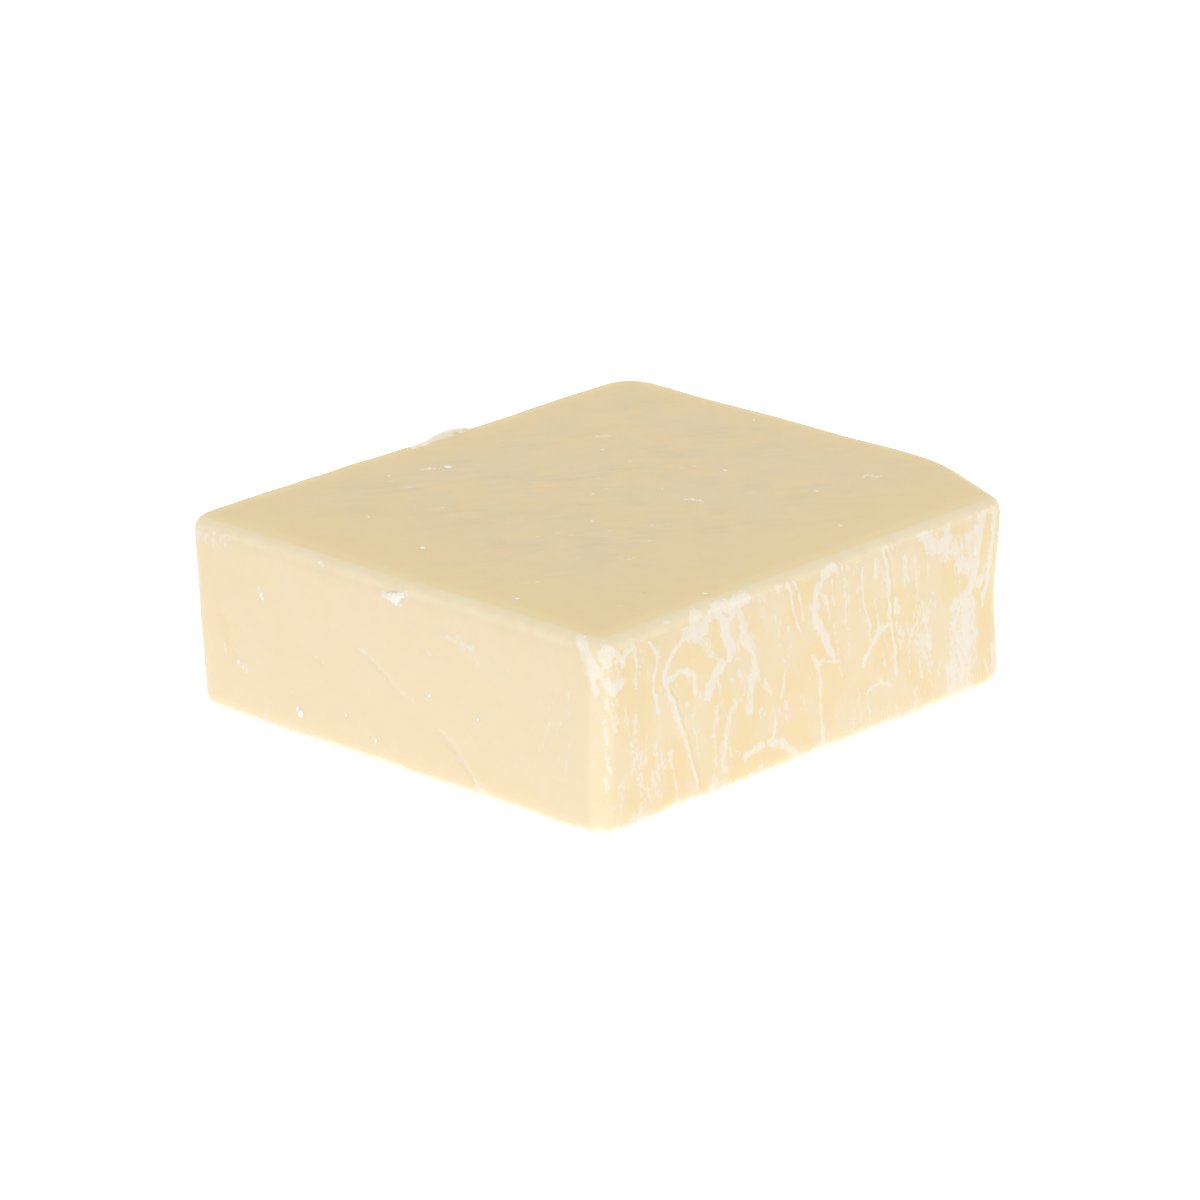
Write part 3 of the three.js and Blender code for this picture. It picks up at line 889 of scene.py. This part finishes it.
class CheddarLook(bpy.types.PropertyGroup):
    """Colours and relief of the cheese."""

    paste_colour: bpy.props.FloatVectorProperty(
        name="Paste", description="The cheese itself", subtype="COLOR",
        default=(0.715, 0.606, 0.426), min=0.0, max=1.0
    )
    warm_colour: bpy.props.FloatVectorProperty(
        name="Warm Cloud", description="Slightly warmer clouds in the paste", subtype="COLOR",
        default=(0.718, 0.594, 0.394), min=0.0, max=1.0,
    )
    top_colour: bpy.props.FloatVectorProperty(
        name="Top", description="The drier top face", subtype="COLOR",
        default=(0.731, 0.594, 0.368), min=0.0, max=1.0
    )
    band_colour: bpy.props.FloatVectorProperty(
        name="Top Band", description="The lighter band of the top along its rim", subtype="COLOR",
        default=(0.782, 0.612, 0.326), min=0.0, max=1.0,
    )
    rim_colour: bpy.props.FloatVectorProperty(
        name="Yellow Rim", description="The yellower, brighter band around the top's rim", subtype="COLOR",
        default=(0.79, 0.652, 0.365), min=0.0, max=1.0,
    )
    # Painted highlight on the rounded edges of the block
    rim_highlight_colour: bpy.props.FloatVectorProperty(
        name="Rim Highlight", description="The worn, paler edges of the block", subtype="COLOR",
        default=(0.785, 0.695, 0.492), min=0.0, max=1.0,
    )
    bare_colour: bpy.props.FloatVectorProperty(
        name="Bare Patch", description="Moist patches with no film", subtype="COLOR",
        default=(0.722, 0.578, 0.336), min=0.0, max=1.0,
    )
    film_colour: bpy.props.FloatVectorProperty(
        name="Film", description="Dried whitish film", subtype="COLOR",
        default=(0.718, 0.664, 0.578), min=0.0, max=1.0
    )
    speck_colour: bpy.props.FloatVectorProperty(
        name="Speck", description="Crumbs and crystals", subtype="COLOR",
        default=(0.86, 0.80, 0.70), min=0.0, max=1.0
    )
    # Painted brighter to make up for the dimmer light on the top
    top_speck_colour: bpy.props.FloatVectorProperty(
        name="Top Speck", description="Crumbs on the top, painted brighter against the dimmer light there", subtype="COLOR",
        default=(0.92, 0.87, 0.78), min=0.0, max=1.0,
    )
    glow_depth: bpy.props.FloatProperty(
        name="Glow Depth", description="How far light wanders inside the cheese",
        subtype="DISTANCE", unit="LENGTH",
        default=0.003, min=0.0, max=0.02, precision=4,
    )
    ripple_height: bpy.props.FloatProperty(
        name="Ripple Height", description="Height of the low unevenness of the faces", unit="LENGTH",
        default=0.06 * MM, min=0.0, max=1 * MM, precision=5,
    )
    ripple_length: bpy.props.FloatProperty(
        name="Ripple Length", description="Length of the low unevenness of the faces", unit="LENGTH",
        default=4.5 * MM, min=1 * MM, max=20 * MM, precision=4,
    )
    drag_height: bpy.props.FloatProperty(
        name="Drag Height", description="Height of the lines that the wire left on the cut side",
        unit="LENGTH",
        default=0.04 * MM, min=0.0, max=1 * MM, precision=5,
    )
    rim_wear: bpy.props.FloatProperty(
        name="Rim Wear", description="How uneven the rims are", unit="LENGTH",
        default=0.4 * MM, min=0.0, max=2 * MM, precision=5,
    )
    finest_reach: bpy.props.FloatProperty(
        name="Fine Reach", description="How far from a thin mark the mesh is at its finest", unit="LENGTH",
        default=0.7 * MM, min=0.0, max=5 * MM, precision=4,
    )


class CheddarSpecks(bpy.types.PropertyGroup):
    """The specks strewn over the block beside the placed ones."""

    density: bpy.props.FloatProperty(
        name="Density", description="Strewn specks a square metre", default=900.0, min=0.0, max=50000.0
    )
    smallest: bpy.props.FloatProperty(
        name="Smallest", description="Least radius of a strewn speck", unit="LENGTH",
        default=0.1 * MM, min=0.02 * MM, max=1 * MM, precision=5,
    )
    largest: bpy.props.FloatProperty(
        name="Largest", description="Largest radius of a strewn speck", unit="LENGTH",
        default=0.24 * MM, min=0.02 * MM, max=1 * MM, precision=5,
    )
    seed: bpy.props.IntProperty(name="Seed", description="Which of the random strewings", default=7)


class CheddarStage(bpy.types.PropertyGroup):
    """The camera, the lights and the floor."""

    azimuth: bpy.props.FloatProperty(
        name="Azimuth", description="Camera's direction, 0 looking along +Y",
        subtype="ANGLE", unit="ROTATION",
        default=math.radians(42.76),
    )
    elevation: bpy.props.FloatProperty(
        name="Elevation", description="Camera's height as an angle", subtype="ANGLE", unit="ROTATION",
        default=math.radians(19.19),
    )
    distance: bpy.props.FloatProperty(
        name="Distance", description="From the camera to its aim", unit="LENGTH", default=1.0513, min=0.1
    )
    lens: bpy.props.FloatProperty(
        name="Lens", description="Focal length on a 36 mm sensor", subtype="DISTANCE_CAMERA",
        default=169.25, min=1.0
    )
    aim_height: bpy.props.FloatProperty(
        name="Aim Height", description="Height of the block's middle", unit="LENGTH",
        default=18.75 * MM, precision=5
    )
    aim_right: bpy.props.FloatProperty(
        name="Aim Right", description="The aim's shift across the view", unit="LENGTH",
        default=-3.05 * MM, precision=5
    )
    aim_up: bpy.props.FloatProperty(
        name="Aim Up", description="The aim's shift up the view", unit="LENGTH",
        default=-1.22 * MM, precision=5
    )
    sky: bpy.props.FloatProperty(
        name="Sky", description="Strength of the even white light", default=0.95, min=0.0
    )
    front_power: bpy.props.FloatProperty(
        name="Front Light", description="Power of the low front light", subtype="POWER", unit="POWER",
        default=1.2, min=0.0
    )
    front_elevation: bpy.props.FloatProperty(
        name="Front Height", description="The front light's height as an angle",
        subtype="ANGLE", unit="ROTATION",
        default=math.radians(20),
    )
    near_glow: bpy.props.FloatProperty(
        name="Near Glow", description="Light from below through the white floor, near the block",
        default=0.84, min=0.0
    )
    far_glow: bpy.props.FloatProperty(
        name="Far Glow", description="Light from below through the white floor, far from the block",
        default=0.4, min=0.0
    )
    floor_size: bpy.props.FloatProperty(
        name="Floor Size", description="Side of the floor", unit="LENGTH", default=4.0, min=0.5
    )


class CHEDDAR_OT_surface(bpy.types.Operator):
    """Make the block's surface, with its film, marks and low relief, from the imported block"""

    bl_idname = "cheddar.surface"
    bl_label = "Cheddar Surface"

    def execute(self, context):
        look = context.scene.cheddar_look
        block = refined_block(look.finest_reach)
        lines = mark_object("thin marks", LINES)
        smears = mark_object("smears", SMEARS)
        values = {
            "Lines": lines,
            "Smears": smears,
            "Ripple Height": look.ripple_height,
            "Ripple Length": look.ripple_length,
            "Drag Height": look.drag_height,
            "Rim Wear": look.rim_wear,
            "Material": cheese_material(look),
        }
        as_plain_mesh(block, surface_tree(), values)
        for helper in (lines, smears):
            bpy.data.objects.remove(helper)
        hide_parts(NODE)
        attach(block, BODY)
        return {"FINISHED"}


class CHEDDAR_OT_specks(bpy.types.Operator):
    """Set white specks and fine crumbs on the block's surface"""

    bl_idname = "cheddar.specks"
    bl_label = "Cheddar Specks"

    def execute(self, context):
        strewn = context.scene.cheddar_specks
        specks = speck_object("cheddar_specks")
        values = {
            "Block": bpy.data.objects["cheddar_surface"],
            "Density": strewn.density,
            "Smallest": strewn.smallest,
            "Largest": strewn.largest,
            "Seed": strewn.seed,
            "Material": speck_material(context.scene.cheddar_look),
        }
        as_plain_mesh(specks, speck_tree(), values)
        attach(specks, BODY)
        return {"FINISHED"}


class CHEDDAR_OT_stage(bpy.types.Operator):
    """Set up the white floor, the even light and the camera"""

    bl_idname = "cheddar.stage"
    bl_label = "Cheddar Stage"

    def execute(self, context):
        scene = context.scene
        stage = scene.cheddar_stage
        floor_object(stage)

        world = bpy.data.worlds.new("even white")
        world.use_nodes = True
        sky = world.node_tree.nodes["Background"].inputs
        sky["Color"].default_value = (1.0, 1.0, 1.0, 1.0)
        sky["Strength"].default_value = stage.sky
        scene.world = world
        scene.view_settings.view_transform = "Standard"

        middle = Vector((0.0, 0.0, stage.aim_height))
        front = bpy.data.lights.new("front light", "AREA")
        front.shape = "RECTANGLE"
        front.size = FRONT_WIDTH
        front.size_y = FRONT_HEIGHT
        front.energy = stage.front_power
        lamp = bpy.data.objects.new("front light", front)
        aimed(lamp, stage.azimuth, stage.front_elevation, FRONT_DISTANCE, middle)

        camera = bpy.data.cameras.new("camera")
        camera.sensor_width = SENSOR_WIDTH_MM
        camera.lens = stage.lens
        camera.clip_start = 0.01
        across = Vector((math.cos(stage.azimuth), math.sin(stage.azimuth), 0.0))
        upward = direction(stage.azimuth, stage.elevation).cross(across)
        aim = middle + stage.aim_right * across + stage.aim_up * upward
        scene.camera = bpy.data.objects.new("camera", camera)
        aimed(scene.camera, stage.azimuth, stage.elevation, stage.distance, aim)
        return {"FINISHED"}


class CHEDDAR_PT_panel(bpy.types.Panel):
    """The cheddar's settings and makers"""

    bl_label = "Cheddar"
    bl_idname = "CHEDDAR_PT_panel"
    bl_space_type = "VIEW_3D"
    bl_region_type = "UI"
    bl_category = "Cheddar"

    def draw(self, context):
        for group, maker in (
            (context.scene.cheddar_look, CHEDDAR_OT_surface),
            (context.scene.cheddar_specks, CHEDDAR_OT_specks),
            (context.scene.cheddar_stage, CHEDDAR_OT_stage),
        ):
            column = self.layout.column()
            for name in group.__annotations__:
                column.prop(group, name)
            column.operator(maker.bl_idname)


CLASSES = (
    CheddarLook,
    CheddarSpecks,
    CheddarStage,
    CHEDDAR_OT_surface,
    CHEDDAR_OT_specks,
    CHEDDAR_OT_stage,
    CHEDDAR_PT_panel,
)


def register():
    for made in CLASSES:
        bpy.utils.register_class(made)
    bpy.types.Scene.cheddar_look = bpy.props.PointerProperty(type=CheddarLook)
    bpy.types.Scene.cheddar_specks = bpy.props.PointerProperty(type=CheddarSpecks)
    bpy.types.Scene.cheddar_stage = bpy.props.PointerProperty(type=CheddarStage)


def unregister():
    for name in ("cheddar_look", "cheddar_specks", "cheddar_stage"):
        delattr(bpy.types.Scene, name)
    for made in reversed(CLASSES):
        bpy.utils.unregister_class(made)


def main():
    register()
    bpy.ops.cheddar.surface()
    bpy.ops.cheddar.specks()
    bpy.ops.cheddar.stage()


if __name__ == "__main__":
    main()
